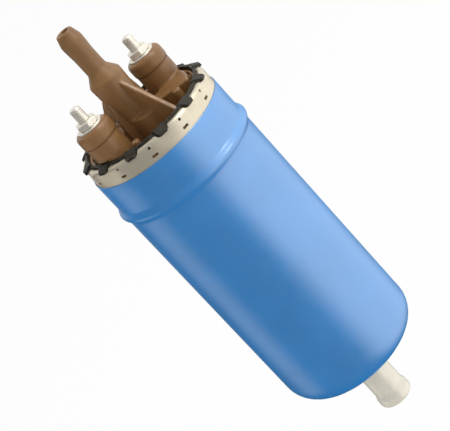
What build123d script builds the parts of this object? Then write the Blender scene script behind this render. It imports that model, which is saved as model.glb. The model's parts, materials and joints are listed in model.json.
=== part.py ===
from build123d import *
import os
from cmath import exp
from math import asin, cos, degrees, pi, radians, sin, sqrt

# In-line electric fuel pump: a drawn can with a blue jacket, a moulded terminal head crimped
# into its open end, a metal inlet nipple at the domed end, and inside a gear rotor pump
# driven by a brush motor. Millimetres. +Z runs along the pump's axis towards the outlet.
# The origin is on the axis, in the middle of the plain stretch that a clamp grips.

# Can and jacket
jacket_r = 26.0            # outside, where the clamp grips
jacket_wall = 0.3
can_wall = 1.0
land_length = 83.6         # plain stretch between the bead and the domed end
bead_width = 5.6
bead_height = 1.2
collar_length = 11.6       # from the bead to the jacket's upper edge
corner_r = 9.5             # rounded edge of the domed end, over the jacket

# Crimped rim, heights above the jacket's upper edge
rim_height = 6.4
rim_round = 1.4            # radius outside, where the rim folds over
lip_width = 2.1            # from the can's outside in to the lip's inner edge
crimps = 12
crimp_phase = 19.0         # degrees from +X to the first punch mark
dash_height = 1.9
dash_length = 1.9
dash_width = 0.8
dot_height = 5.0
dot_r = 0.45
mark_depth = 0.45

# Gasket with a castle edge, under the lip and up through its gaps
gasket_thick = 1.0
gasket_top = 7.3           # plain ring inside the lip
tooth_top = 8.0
tooth_angle = 14.0
tooth_stand = 0.4          # how far a tooth comes out past the can
tooth_gap = 0.1
gasket_edge = 1.0          # its plain ring, between the lip and the moulding

# Head moulding, heights above the jacket's upper edge
fit_gap = 0.1              # between the can's bore and what slides into it
foot_top = 6.2
spigot_depth = 9.0         # how far the moulding reaches down into the can
spigot_wall = 4.1          # round the chamber
chamber_roof = -1.0
pedestal_r = 8.8
pedestal_top = 8.7
tower_r = 6.2
tower_top = 24.7
neck_r = 3.7
neck_start = 28.4
neck_end = 35.0
barb_r = 4.05
barb_height = 40.0
barb_land = 1.2            # length of the barb's full radius
nozzle_tip_r = 3.0
nozzle_top = 44.9
nozzle_bore = 1.9
gusset_angle = 62.0        # degrees from +X towards -Y
gusset_thick = 1.7
gusset_high = 24.2
gusset_edge = 0.8          # from the gusset's foot to the moulding's edge
gusset_low = 6.6
rib_high = 20.8            # short ribs between the gussets, down to the pedestal's rim
rib_edge = 0.9

# Terminals
terminal_edge = 3.0        # from each stud's axis to the chamber's wall
terminal_angle = 36.9
boss_r = 6.3
boss_collar_r = 6.6
boss_collar_start = 14.0
boss_top = 19.0
boss_round = 1.6
boss_step = 8.2            # below this the boss is cut back to clear the gasket
bridge_width = 9.0
bridge_top = 9.6
stud_r = 2.0               # over the thread
thread_depth = 0.23        # from the thread's crests to its pitch line
stud_top = 27.0
stud_chamfer = 0.4
shank_r = 2.4              # moulded into the boss
rivet_r = 1.6              # through the strap
stud_head_r = 2.9          # spread under the strap
stud_head_high = 1.2
washer_r = 4.8
washer_gap = 0.15
washer_thick = 0.6
nut_flats = 7.0
nut_high = 2.2
nut_chamfer = 0.5
strap_thick = 0.8
strap_width = 5.0

# Inlet nipple, lengths from the can's floor
nipple_r = 5.7
nipple_bore = 4.0
nipple_length = 22.4       # below the jacket's flat end
nipple_bead_r = 6.35
nipple_bead_land = 2.0
nipple_bead_ramp = 2.0
nipple_tip_round = 1.5
nipple_flange_r = 15.5
nipple_flange_thick = 2.0
nipple_hole_gap = 0.3
inlet_seal_thick = 1.0
inlet_seal_in = 7.5
inlet_seal_out = 14.0
strainer_flange_r = 7.5
strainer_cup_r = 5.2
strainer_wall = 0.5
strainer_high = 4.6
strainer_slots = 8
strainer_slot_width = 1.6

# Pump element
skirt_in = 12.5
skirt_depth = 5.5
skirt_notches = 4
notch_width = 6.0
cover_thick = 5.0
element_thick = 9.0
port_thick = 5.0
port_hub_r = 7.0
port_hub_high = 2.0
lobes = 6                  # teeth of the inner rotor; the outer rotor has one more
pin_circle_r = 13.0
pin_r = 4.2
eccentricity = 1.5
outer_rotor_r = 15.0
mesh_gap = 0.06
rotor_end_gap = 0.05
running_gap = 0.05
kidney_r = 9.9
kidney_width = 3.2
kidney_span = 120.0
screw_circle_r = 19.0
screw_r = 1.5
screw_hole_gap = 0.2
screw_head_r = 2.6
screw_head_high = 1.8
screw_slot_width = 0.8
screw_count = 4

# Relief valve, in the ring's thick side
relief_ball_r = 2.4
relief_seat_r = 1.6
relief_pocket = 2.5        # how far the spring reaches into the suction cover
relief_exit_r = 1.4

# Motor
shaft_r = 3.0
shaft_flats = 4.4
pilot_r = 2.2
pilot_length = 3.3
bush_wall = 2.0
lower_bush_length = 6.4
upper_bush_length = 8.0
flux_wall = 2.8
core_start = 10.5          # above the port plate
slot_r = 2.6
slot_depth = 5.0           # from the core's rim to the middle of a slot
slot_mouth = 1.6
coil_gap = 0.06
coil_high = 6.0
coil_step = 1.8            # from the core's rim in to the coil ends
coil_in_r = 4.4
poles = 8
commutator_r = 11.5
commutator_hub_high = 6.0
segment_high = 3.0
segment_gap = 0.6
air_gap = 0.7
magnet_thick = 6.3
magnet_arc = 136.0
magnet_overhang = 2.0      # beyond each end of the core
clip_thick = 0.6
clip_leg = 4.0

# Brushes
brush_plate_thick = 6.0
brush_plate_drop = 3.0     # hub and tubes below the plate
brush_reach = 8.5
brush_radial = 4.6
brush_wide = 6.0
brush_length = 12.0
brush_stand = 8.0          # from the segments' face up to the brush plate
brush_gap = 0.08
brush_rest_gap = 0.05
tube_wall = 1.0
plate_port_r = 14.5
plate_port_width = 5.0
plate_port_span = 60.0

# Outlet check valve
valve_seat_r = 4.6
valve_seat_bore = 2.4
valve_seat_high = 6.0
valve_bore = 3.6
valve_bore_top = 21.0
check_ball_r = 3.2
seat_lift = 0.03           # the balls sit this much clear of the seats' sharp edges

# Head seal
oring_r = 0.85
oring_height = -3.0

# Springs
spring_wire_r = 0.3
spring_turns = 5
relief_spring_r = 1.8
check_spring_r = 2.4
brush_spring_r = 1.7
spring_end_gap = 0.02

# Worked-out places
land_top = land_length / 2
jacket_top = land_top + bead_width + collar_length
jacket_bottom = -land_length / 2 - corner_r
can_r = jacket_r - jacket_wall
can_bore = can_r - can_wall
can_bottom = jacket_bottom + jacket_wall
can_floor = can_bottom + can_wall
inner_r = can_bore - fit_gap
chamber_r = inner_r - spigot_wall
terminal_reach = chamber_r - terminal_edge
lip_r = can_r - lip_width
tooth_r = can_r + tooth_stand
foot_r = lip_r - gasket_edge
gusset_reach = foot_r - gusset_edge
lip_bottom = jacket_top + rim_height - can_wall
flange_top = lip_bottom - gasket_thick
spigot_bottom = jacket_top - spigot_depth
roof = jacket_top + chamber_roof
flange_face = can_floor + inlet_seal_thick + nipple_flange_thick
cover_bottom = flange_face + skirt_depth
cover_top = cover_bottom + cover_thick
ring_top = cover_top + element_thick
port_top = ring_top + port_thick
plate_bottom = spigot_bottom - brush_plate_thick
brush_face = plate_bottom - brush_stand
brush_top = brush_face + brush_length
hub_top = brush_face - segment_high
hub_bottom = hub_top - commutator_hub_high
core_bottom = port_top + core_start
core_top = hub_bottom - coil_high - 1.0
core_length = core_top - core_bottom
strap_bottom = roof - strap_thick
nut_bottom = jacket_top + boss_top + washer_thick
nut_top = nut_bottom + nut_high
pitch_r = stud_r - thread_depth
yoke_bore = inner_r - flux_wall
magnet_in = yoke_bore - magnet_thick
core_r = magnet_in - air_gap
slot_reach = core_r - slot_depth
coil_r = core_r - coil_step


def place(radius, angle, height=0.0):
    """Point at a radius and an angle in degrees from +X, at a height."""
    return (radius * cos(radians(angle)), radius * sin(radians(angle)), height)


terminals = [terminal_angle, terminal_angle + 180]


def turned(edges):
    """Solid turned about Z from a closed outline of edges in (radius, height)."""
    return revolve(Plane.XZ * make_face(edges), Axis.Z)


def ring(r_in, r_out, low, high):
    """Plain ring, or a disc where the inner radius is zero."""
    height = high - low
    body = Pos(0, 0, low) * extrude(Circle(r_out), height)
    if r_in:
        body -= Pos(0, 0, low) * extrude(Circle(r_in), height)
    return body


def around(body, count, first=0.0):
    """Copies of a body spread evenly about Z."""
    return [Rot(0, 0, first + 360 / count * k) * body for k in range(count)]


def skin(r, bottom, corner, start_r, top):
    """Outline of one side of the can, from its hole to a height, with the bead."""
    low = -land_length / 2
    crest = (r + bead_height, land_top + bead_width / 2)
    return [
        Line((start_r, bottom), (r - corner, bottom)),
        CenterArc((r - corner, low), corner, -90, 90),
        Line((r, low), (r, land_top)),
        Spline((r, land_top), crest, (r, land_top + bead_width), tangents=((0, 1), (0, 1))),
        Line((r, land_top + bead_width), (r, top)),
    ]


def make_jacket():
    hole = nipple_r + nipple_hole_gap
    outside = skin(jacket_r, jacket_bottom, corner_r, hole, jacket_top)
    inside = skin(can_r, can_bottom, corner_r - jacket_wall, hole, jacket_top)
    ends = [
        Line((hole, jacket_bottom), (hole, can_bottom)),
        Line((can_r, jacket_top), (jacket_r, jacket_top)),
    ]
    return turned(outside + inside + ends)


def make_can():
    hole = nipple_r + nipple_hole_gap
    fold = jacket_top + rim_height - rim_round
    fold_in = rim_round - can_wall
    lip_top = jacket_top + rim_height
    outside = skin(can_r, can_bottom, corner_r - jacket_wall, hole, fold)
    inside = skin(can_bore, can_floor, corner_r - jacket_wall - can_wall, hole, fold)
    lip = [
        Line((hole, can_bottom), (hole, can_floor)),
        CenterArc((can_r - rim_round, fold), rim_round, 0, 90),
        Line((can_r - rim_round, lip_top), (lip_r, lip_top)),
        Line((lip_r, lip_top), (lip_r, lip_bottom)),
        Line((lip_r, lip_bottom), (can_r - rim_round, lip_bottom)),
        CenterArc((can_r - rim_round, fold), fold_in, 0, 90),
    ]
    body = turned(outside + inside + lip)
    # Gaps right through the rim, where the gasket's teeth come out, are half a pitch from the marks
    gap = tooth_angle + 2 * degrees(asin(tooth_gap / lip_r))
    notch = sector(foot_r, can_r + 1, 0, gap, lip_bottom, lip_top + 1)
    for cut in around(notch, crimps, crimp_phase + 180 / crimps):
        body -= cut
    # Punch marks that lock the rim
    dash = Pos(can_r, 0, jacket_top + dash_height) * Box(2 * mark_depth, dash_length, dash_width)
    dot = Pos(can_r, 0, jacket_top + dot_height) * Rot(0, 90, 0) * extrude(
        Circle(dot_r), mark_depth, both=True
    )
    for mark in around(dash, crimps, crimp_phase) + around(dot, crimps, crimp_phase):
        body -= mark
    return body


def sector(r_in, r_out, middle, span, low, high):
    """Part of a ring, by its middle angle and its span in degrees."""
    first = middle - span / 2
    last = middle + span / 2
    edges = [
        CenterArc((0, 0), r_out, first, span),
        Line(place(r_out, last)[:2], place(r_in, last)[:2]),
        CenterArc((0, 0), r_in, first, span),
        Line(place(r_in, first)[:2], place(r_out, first)[:2]),
    ]
    return Pos(0, 0, low) * extrude(make_face(edges), high - low)


def make_rim_gasket():
    """Ring under the lip, with a plain crown inside it and teeth out through the gaps in the rim."""
    crown_top = jacket_top + tooth_top
    body = ring(foot_r, can_r - rim_round, flange_top, lip_bottom)
    body += ring(foot_r, tooth_r, lip_bottom, crown_top)
    valley = 360 / crimps - tooth_angle
    outside = sector(lip_r - tooth_gap, tooth_r + 1, 0, valley, lip_bottom, crown_top + 1)
    above = sector(foot_r - 1, lip_r, 0, valley, jacket_top + gasket_top, crown_top + 1)
    for cut in around(outside, crimps, crimp_phase) + around(above, crimps, crimp_phase):
        body -= cut
    return body


def make_head_seal():
    height = jacket_top + oring_height
    return Pos(0, 0, height) * Torus(inner_r + fit_gap / 2 - oring_r, oring_r)


def nozzle_outline():
    """Tower, cone and hose nozzle, from the pedestal's foot up to the tip."""
    base = jacket_top
    land_low = base + barb_height
    land_high = land_low + barb_land
    neck = base + neck_end
    return [
        Line((0, roof), (pedestal_r, roof)),
        Line((pedestal_r, roof), (pedestal_r, base + pedestal_top - 0.8)),
        CenterArc((pedestal_r - 0.8, base + pedestal_top - 0.8), 0.8, 0, 90),
        Line((pedestal_r - 0.8, base + pedestal_top), (tower_r, base + pedestal_top)),
        Line((tower_r, base + pedestal_top), (tower_r, base + tower_top - 0.8)),
        CenterArc((tower_r - 0.8, base + tower_top - 0.8), 0.8, 0, 90),
        Line((tower_r - 0.8, base + tower_top), (neck_r, base + neck_start)),
        Line((neck_r, base + neck_start), (neck_r, neck)),
        Spline((neck_r, neck), (barb_r, land_low), tangents=((0, 1), (0, 1))),
        Line((barb_r, land_low), (barb_r, land_high)),
        Spline((barb_r, land_high), (nozzle_tip_r, base + nozzle_top), tangents=((0, 1), (-1, 0.4))),
        Line((nozzle_tip_r, base + nozzle_top), (0, base + nozzle_top)),
        Line((0, base + nozzle_top), (0, roof)),
    ]


def make_boss(angle):
    base = jacket_top
    collar = base + boss_collar_start
    top = base + boss_top
    outline = [
        Line((0, roof), (boss_r, roof)),
        Line((boss_r, roof), (boss_r, collar)),
        Line((boss_r, collar), (boss_collar_r, collar + 0.3)),
        Line((boss_collar_r, collar + 0.3), (boss_collar_r, top - boss_round)),
        CenterArc((boss_collar_r - boss_round, top - boss_round), boss_round, 0, 90),
        Line((boss_collar_r - boss_round, top), (0, top)),
        Line((0, top), (0, roof)),
    ]
    body = Pos(*place(terminal_reach, angle)) * turned(outline)
    # The foot keeps inside the gasket; the boss overhangs it above the step
    step = base + boss_step
    body &= ring(0, foot_r, roof, step) + ring(0, terminal_reach + 2 * boss_r, step, top)
    bridge = Pos(0, 0, roof) * Box(
        terminal_reach, bridge_width, bridge_top - chamber_roof, align=(Align.MIN, Align.CENTER, Align.MIN)
    )
    return body + Rot(0, 0, angle) * bridge


def make_gusset(angle, start, high, reach, low):
    """Upright web from the axis outwards, its top edge sloping down to its reach."""
    base = jacket_top
    points = [(0, base), (0, base + high), (start, base + high), (reach, base + low), (reach, base)]
    plate = extrude(Plane.XZ * make_face(Polyline(points, close=True)), gusset_thick / 2, both=True)
    return Rot(0, 0, angle) * plate


def make_head_cover():
    body = ring(0, inner_r, spigot_bottom, flange_top) + ring(0, foot_r, flange_top, jacket_top + foot_top)
    body += turned(nozzle_outline())
    for angle in terminals:
        body += make_boss(angle)
    for angle in (-gusset_angle, 180 - gusset_angle):
        body += make_gusset(angle, neck_r, gusset_high, gusset_reach, gusset_low)
        body += make_gusset(angle + 90, tower_r - 0.1, rib_high, pedestal_r - rib_edge, pedestal_top - 0.1)
    # Chamber, check valve bores and the nozzle's bore
    body -= ring(0, chamber_r, spigot_bottom, roof)
    body -= ring(0, valve_seat_r, roof, roof + valve_seat_high)
    body -= ring(0, valve_bore, roof, jacket_top + valve_bore_top)
    body -= ring(0, nozzle_bore, roof, jacket_top + nozzle_top)
    for angle in terminals:
        body -= Pos(*place(terminal_reach, angle)) * ring(0, shank_r, roof, jacket_top + boss_top)
    groove = oring_r + 0.15
    seal = jacket_top + oring_height
    body -= ring(inner_r - 2 * oring_r, inner_r, seal - groove, seal + groove)
    return body


def make_terminal_studs():
    """Studs moulded into the bosses. Under the nut they are drawn at the thread's pitch line."""
    free = ring(0, stud_r, nut_top, jacket_top + stud_top)
    stud = chamfer(free.edges().group_by(Axis.Z)[-1], stud_chamfer)
    stud += ring(0, pitch_r, jacket_top + boss_top, nut_top)
    stud += ring(0, shank_r, roof, jacket_top + boss_top) + ring(0, rivet_r, strap_bottom, roof)
    stud += ring(0, stud_head_r, strap_bottom - stud_head_high, strap_bottom)
    return [Pos(*place(terminal_reach, angle)) * stud for angle in terminals]


def make_terminal_washers():
    washer = ring(stud_r + washer_gap, washer_r, nut_bottom - washer_thick, nut_bottom)
    return [Pos(*place(terminal_reach, angle)) * washer for angle in terminals]


def make_terminal_nuts():
    flat = nut_flats / 2
    corner = flat / cos(radians(30))
    blank = Pos(0, 0, nut_bottom) * extrude(RegularPolygon(corner, 6), nut_high)
    # Corners turned off at both faces
    outline = [(0, nut_bottom), (flat, nut_bottom), (corner, nut_bottom + nut_chamfer)]
    outline += [(corner, nut_top - nut_chamfer), (flat, nut_top), (0, nut_top)]
    nut = (blank & turned([Polyline(outline, close=True)])) - ring(0, pitch_r, nut_bottom, nut_top)
    return [Pos(*place(terminal_reach, angle)) * nut for angle in terminals]


def make_contact_straps():
    """Copper strips from each stud to the spring behind its brush."""
    strap = Pos((terminal_reach + brush_reach) / 2, 0, strap_bottom) * extrude(
        SlotOverall(terminal_reach - brush_reach + strap_width, strap_width), strap_thick
    )
    strap -= Pos(terminal_reach, 0, 0) * ring(0, rivet_r, strap_bottom, roof)
    return [Rot(0, 0, angle) * strap for angle in terminals]


def make_inlet_nipple():
    tip = jacket_bottom - nipple_length
    land_low = tip + nipple_tip_round
    land_high = land_low + nipple_bead_land
    shoulder = land_high + nipple_bead_ramp
    flange_low = can_floor + inlet_seal_thick
    tip_r = nipple_bead_r - nipple_tip_round
    outline = [
        Line((nipple_bore, tip), (tip_r, tip)),
        CenterArc((tip_r, land_low), nipple_tip_round, -90, 90),
        Line((nipple_bead_r, land_low), (nipple_bead_r, land_high)),
        Spline((nipple_bead_r, land_high), (nipple_r, shoulder), tangents=((0, 1), (0, 1))),
        Line((nipple_r, shoulder), (nipple_r, flange_low)),
        Line((nipple_r, flange_low), (nipple_flange_r, flange_low)),
        Line((nipple_flange_r, flange_low), (nipple_flange_r, flange_face)),
        Line((nipple_flange_r, flange_face), (nipple_bore, flange_face)),
        Line((nipple_bore, flange_face), (nipple_bore, tip)),
    ]
    return turned(outline)


def make_inlet_seal():
    return ring(inlet_seal_in, inlet_seal_out, can_floor, can_floor + inlet_seal_thick)


def make_inlet_strainer():
    top = flange_face + strainer_high
    body = ring(nipple_bore, strainer_flange_r, flange_face, flange_face + strainer_wall)
    body += ring(0, strainer_cup_r, flange_face, top)
    body -= ring(0, strainer_cup_r - strainer_wall, flange_face, top - strainer_wall)
    slot_high = strainer_high - 3 * strainer_wall
    slot = Pos(0, 0, flange_face + 1.5 * strainer_wall) * Box(
        2 * strainer_cup_r, strainer_slot_width, slot_high, align=(Align.CENTER, Align.CENTER, Align.MIN)
    )
    for cut in [Rot(0, 0, 360 / strainer_slots * k) * slot for k in range(strainer_slots // 2)]:
        body -= cut
    return body


def kidney(side, low, high):
    """Arc slot through a plate, on the side of +Y or -Y."""
    start = side * 90 - kidney_span / 2
    slot = SlotArc(CenterArc((0, 0), kidney_r, start, kidney_span), kidney_width)
    return Pos(eccentricity / 2, 0, low) * extrude(slot, high - low)


def screw_spots():
    return [place(screw_circle_r, 45 + 360 / screw_count * k) for k in range(screw_count)]


def relief_spot(low=0.0):
    return Pos(-screw_circle_r, 0, low)


def make_suction_cover():
    body = ring(0, inner_r, cover_bottom, cover_top)
    body += ring(skirt_in, nipple_flange_r, flange_face, cover_bottom)
    notch = Pos(0, 0, flange_face) * Box(
        2 * nipple_flange_r, notch_width, skirt_depth - 1.5, align=(Align.CENTER, Align.CENTER, Align.MIN)
    )
    for cut in [Rot(0, 0, 360 / skirt_notches * k) * notch for k in range(skirt_notches // 2)]:
        body -= cut
    body -= kidney(1, cover_bottom, cover_top)
    body -= ring(0, pilot_r + running_gap, cover_top - pilot_length - 0.4, cover_top)
    body -= relief_spot() * ring(0, relief_bore(), cover_top - relief_pocket, cover_top)
    body -= relief_spot() * ring(0, relief_exit_r, cover_bottom, cover_top)
    for spot in screw_spots():
        body -= Pos(*spot) * ring(0, screw_r, cover_bottom + 1, cover_top)
    return body


def relief_bore():
    """The relief ball's bore, with room round the ball."""
    return relief_ball_r + 0.3


def make_rotor_ring():
    body = ring(0, inner_r, cover_top, ring_top)
    body -= Pos(eccentricity, 0, 0) * ring(0, outer_rotor_r + running_gap, cover_top, ring_top)
    body -= relief_spot() * ring(0, relief_bore(), cover_top, ring_top)
    for spot in screw_spots():
        body -= Pos(*spot) * ring(0, screw_r + screw_hole_gap, cover_top, ring_top)
    return body


def make_port_plate():
    body = ring(0, inner_r, ring_top, port_top) + ring(0, port_hub_r, port_top, port_top + port_hub_high)
    body -= kidney(-1, ring_top, port_top + port_hub_high)
    body -= ring(0, shaft_r + bush_wall, port_bush_low(), port_top + port_hub_high)
    body -= ring(0, shaft_r + 4 * running_gap, ring_top, port_top)
    body -= relief_spot() * ring(0, relief_seat_r, ring_top, port_top)
    for spot in screw_spots():
        body -= Pos(*spot) * ring(0, screw_r + screw_hole_gap, ring_top, port_top)
    return body


def port_bush_low():
    return port_top + port_hub_high - lower_bush_length


def make_lower_bush():
    low = port_bush_low()
    return ring(shaft_r + running_gap, shaft_r + bush_wall, low, low + lower_bush_length)


def make_upper_bush():
    high = spigot_bottom + 2.0
    return ring(shaft_r + running_gap, shaft_r + bush_wall, high - upper_bush_length, high)


def make_plate_screws():
    head = ring(0, screw_head_r, port_top, port_top + screw_head_high)
    head = chamfer(head.edges().group_by(Axis.Z)[-1], screw_head_high / 3)
    head -= Pos(0, 0, port_top + screw_head_high) * Box(2 * screw_head_r, screw_slot_width, screw_head_high)
    screw = head + ring(0, screw_r, cover_bottom + 1, port_top)
    return [Pos(*spot) * screw for spot in screw_spots()]


def inner_rotor_outline():
    """Curve that the outer rotor's round teeth leave on the inner rotor as both turn."""
    points = []
    steps = 12 * lobes
    for k in range(steps):
        turn = 2 * pi * (lobes + 1) * k / steps
        tooth = turn * lobes / (lobes + 1)
        centre = (eccentricity + pin_circle_r * exp(1j * tooth)) * exp(-1j * turn)
        slide = 1j * pin_circle_r * lobes / (lobes + 1) * exp(1j * (tooth - turn)) - 1j * centre
        contact = centre - 1j * slide / abs(slide) * (pin_r + mesh_gap)
        points.append((contact.real, contact.imag))
    return Spline(points, periodic=True)


def shaft_section():
    """Round shaft with two flats, as the inner rotor's bore fits it."""
    return Circle(shaft_r) & Rectangle(2 * shaft_r, shaft_flats)


def make_inner_rotor():
    profile = make_face(inner_rotor_outline()) - shaft_section()
    low = cover_top + rotor_end_gap
    return Pos(0, 0, low) * extrude(profile, element_thick - 2 * rotor_end_gap)


def make_outer_rotor():
    root_r = pin_circle_r - pin_r + 2 * eccentricity + 2 * mesh_gap
    teeth = [Pos(*place(pin_circle_r, 360 / (lobes + 1) * k)[:2]) * Circle(pin_r) for k in range(lobes + 1)]
    hollow = Circle(root_r)
    for tooth in teeth:
        hollow -= tooth
    low = cover_top + rotor_end_gap
    profile = Circle(outer_rotor_r) - hollow
    return Pos(eccentricity, 0, low) * extrude(profile, element_thick - 2 * rotor_end_gap)


def make_shaft():
    body = ring(0, shaft_r, ring_top, spigot_bottom - 1.0)
    body += Pos(0, 0, cover_top) * extrude(shaft_section(), element_thick)
    body += ring(0, pilot_r, cover_top - pilot_length, cover_top)
    return chamfer(body.edges().group_by(Axis.Z)[-1], stud_chamfer)


def slot_shape(grow=0.0):
    """One winding slot on +X, with its mouth out to the core's rim."""
    return Pos(slot_reach, 0) * Circle(slot_r - grow)


def make_armature_core():
    profile = Circle(core_r) - Circle(shaft_r)
    mouth = Pos((slot_reach + core_r + 1) / 2, 0) * Rectangle(core_r + 1 - slot_reach, slot_mouth)
    for cut in around(slot_shape() + mouth, poles):
        profile -= cut
    return Pos(0, 0, core_bottom) * extrude(profile, core_length)


def make_winding():
    """Coil ends above and below the core, joined by the wires in its slots."""
    body = Part()
    for low in (core_bottom - coil_high, core_top):
        end = ring(coil_in_r, coil_r, low, low + coil_high)
        outer = end.edges().filter_by(GeomType.CIRCLE).sort_by(SortBy.RADIUS)[-2:]
        body += chamfer(outer, coil_high / 3)
    bar = Pos(0, 0, core_bottom - 1) * extrude(slot_shape(coil_gap), core_length + 2)
    for wires in around(bar, poles):
        body += wires
    return body


def make_commutator_hub():
    return ring(shaft_r, commutator_r - 0.4, hub_bottom, hub_top)


def make_commutator_segments():
    face = Circle(commutator_r) - Circle(shaft_r + 1.5)
    for k in range(poles):
        spoke = Pos(commutator_r / 2 + 1, 0) * Rectangle(commutator_r + 2, segment_gap)
        face -= Rot(0, 0, 180 / poles + 360 / poles * k) * spoke
    return Pos(0, 0, hub_top) * extrude(face, segment_high)


def make_magnet(angle):
    low = core_bottom - magnet_overhang
    return sector(magnet_in, yoke_bore, angle, magnet_arc, low, core_top + magnet_overhang)


def make_magnet_clips():
    """Springy U strips in the gaps between the magnets."""
    gap_angle = 180 - magnet_arc
    low = core_bottom
    high = core_top
    clips = []
    for middle in (90, 270):
        clip = sector(yoke_bore - clip_thick, yoke_bore, middle, gap_angle - 1, low, high)
        for side in (-1, 1):
            leg_angle = degrees(clip_thick / yoke_bore)
            at = middle + side * (gap_angle / 2 - 0.5 - leg_angle / 2)
            clip += sector(yoke_bore - clip_leg, yoke_bore, at, leg_angle, low, high)
        clips.append(clip)
    return clips


def make_flux_ring():
    return ring(yoke_bore, inner_r, port_top, plate_bottom)


def brush_hole(grow, low, high):
    shape = Pos(brush_reach, 0) * Rectangle(brush_radial + 2 * grow, brush_wide + 2 * grow)
    return Pos(0, 0, low) * extrude(shape, high - low)


def make_brush_plate():
    top = spigot_bottom
    hub_low = plate_bottom - brush_plate_drop
    body = ring(0, inner_r, plate_bottom, top)
    body += ring(0, shaft_r + bush_wall + 1.2, hub_low, top + 2.0)
    for angle in terminals:
        body += Rot(0, 0, angle) * brush_hole(tube_wall + brush_gap, hub_low, strap_bottom)
    for angle in terminals:
        body -= Rot(0, 0, angle) * brush_hole(brush_gap, hub_low, strap_bottom)
    body -= ring(0, shaft_r + bush_wall, top + 2.0 - upper_bush_length, top + 2.0)
    body -= ring(0, shaft_r + 4 * running_gap, hub_low, top)
    for side in (90, 270):
        arc = CenterArc((0, 0), plate_port_r, terminal_angle + side - plate_port_span / 2, plate_port_span)
        body -= Pos(0, 0, plate_bottom) * extrude(SlotArc(arc, plate_port_width), brush_plate_thick)
    return body


def make_brush(angle):
    block = brush_hole(0, brush_face + brush_rest_gap, brush_top)
    return Rot(0, 0, angle) * chamfer(block.edges().filter_by(Axis.Z), 0.4)


def spring(r, low, high):
    """Open coil spring that stands on one level and reaches another, its wire six-sided."""
    rise = high - low - 2 * spring_wire_r - 2 * spring_end_gap
    path = Helix(rise / spring_turns, rise, r, center=(0, 0, low + spring_wire_r + spring_end_gap))
    section = Plane(origin=path @ 0, z_dir=path % 0) * RegularPolygon(spring_wire_r, 6)
    return sweep(section, path, is_frenet=True)


def make_brush_spring(angle):
    return Pos(*place(brush_reach, angle)) * spring(brush_spring_r, brush_top, strap_bottom)


def check_ball_centre():
    seat = roof + valve_seat_high
    return seat + sqrt(check_ball_r**2 - valve_seat_bore**2) + seat_lift


def relief_ball_centre():
    return ring_top - sqrt(relief_ball_r**2 - relief_seat_r**2) - seat_lift


def make_valve_seat():
    return ring(valve_seat_bore, valve_seat_r, roof, roof + valve_seat_high)


def make_check_ball():
    return Pos(0, 0, check_ball_centre()) * Sphere(check_ball_r)


def make_check_spring():
    rests = check_ball_centre() + sqrt(check_ball_r**2 - check_spring_r**2)
    return spring(check_spring_r, rests + spring_wire_r, jacket_top + valve_bore_top)


def make_relief_ball():
    return relief_spot(relief_ball_centre()) * Sphere(relief_ball_r)


def make_relief_spring():
    rests = relief_ball_centre() - sqrt(relief_ball_r**2 - relief_spring_r**2)
    return relief_spot() * spring(relief_spring_r, cover_top - relief_pocket, rests - spring_wire_r)


nodes = {
    "can": make_can(),
    "jacket": make_jacket(),
    "rim_gasket": make_rim_gasket(),
    "head_cover": make_head_cover(),
    "head_seal": make_head_seal(),
    "terminal_studs": make_terminal_studs(),
    "terminal_washers": make_terminal_washers(),
    "terminal_nuts": make_terminal_nuts(),
    "contact_straps": make_contact_straps(),
    "inlet_nipple": make_inlet_nipple(),
    "inlet_seal": make_inlet_seal(),
    "inlet_strainer": make_inlet_strainer(),
    "suction_cover": make_suction_cover(),
    "rotor_ring": make_rotor_ring(),
    "port_plate": make_port_plate(),
    "plate_screws": make_plate_screws(),
    "inner_rotor": make_inner_rotor(),
    "outer_rotor": make_outer_rotor(),
    "relief_ball": make_relief_ball(),
    "relief_spring": make_relief_spring(),
    "shaft": make_shaft(),
    "lower_bush": make_lower_bush(),
    "upper_bush": make_upper_bush(),
    "armature_core": make_armature_core(),
    "winding": make_winding(),
    "commutator_hub": make_commutator_hub(),
    "commutator_segments": make_commutator_segments(),
    "magnet_a": make_magnet(0),
    "magnet_b": make_magnet(180),
    "magnet_clips": make_magnet_clips(),
    "flux_ring": make_flux_ring(),
    "brush_plate": make_brush_plate(),
    "brush_a": make_brush(terminals[0]),
    "brush_b": make_brush(terminals[1]),
    "brush_spring_a": make_brush_spring(terminals[0]),
    "brush_spring_b": make_brush_spring(terminals[1]),
    "valve_seat": make_valve_seat(),
    "check_ball": make_check_ball(),
    "check_spring": make_check_spring(),
}

os.makedirs("parts", exist_ok=True)
for name, body in nodes.items():
    solids = [solid for piece in (body if isinstance(body, list) else [body]) for solid in piece.solids()]
    export_step(Compound(children=solids) if len(solids) > 1 else solids[0], f"parts/{name}.step")
    print(name, len(solids), round(sum(solid.volume for solid in solids)))
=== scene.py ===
"""Looks of an in-line electric fuel pump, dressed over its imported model.

Pieces are modelled in millimetres in the model's own frame, and shrunk to metres as their last step.
"""
import json
import logging
from contextlib import contextmanager
from dataclasses import dataclass
from enum import Enum
from itertools import pairwise
from math import cos, degrees, hypot, pi, radians, sin, tan, tau
from typing import Callable, Iterator, Sequence

import bpy
from mathutils import Matrix, Vector


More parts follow.
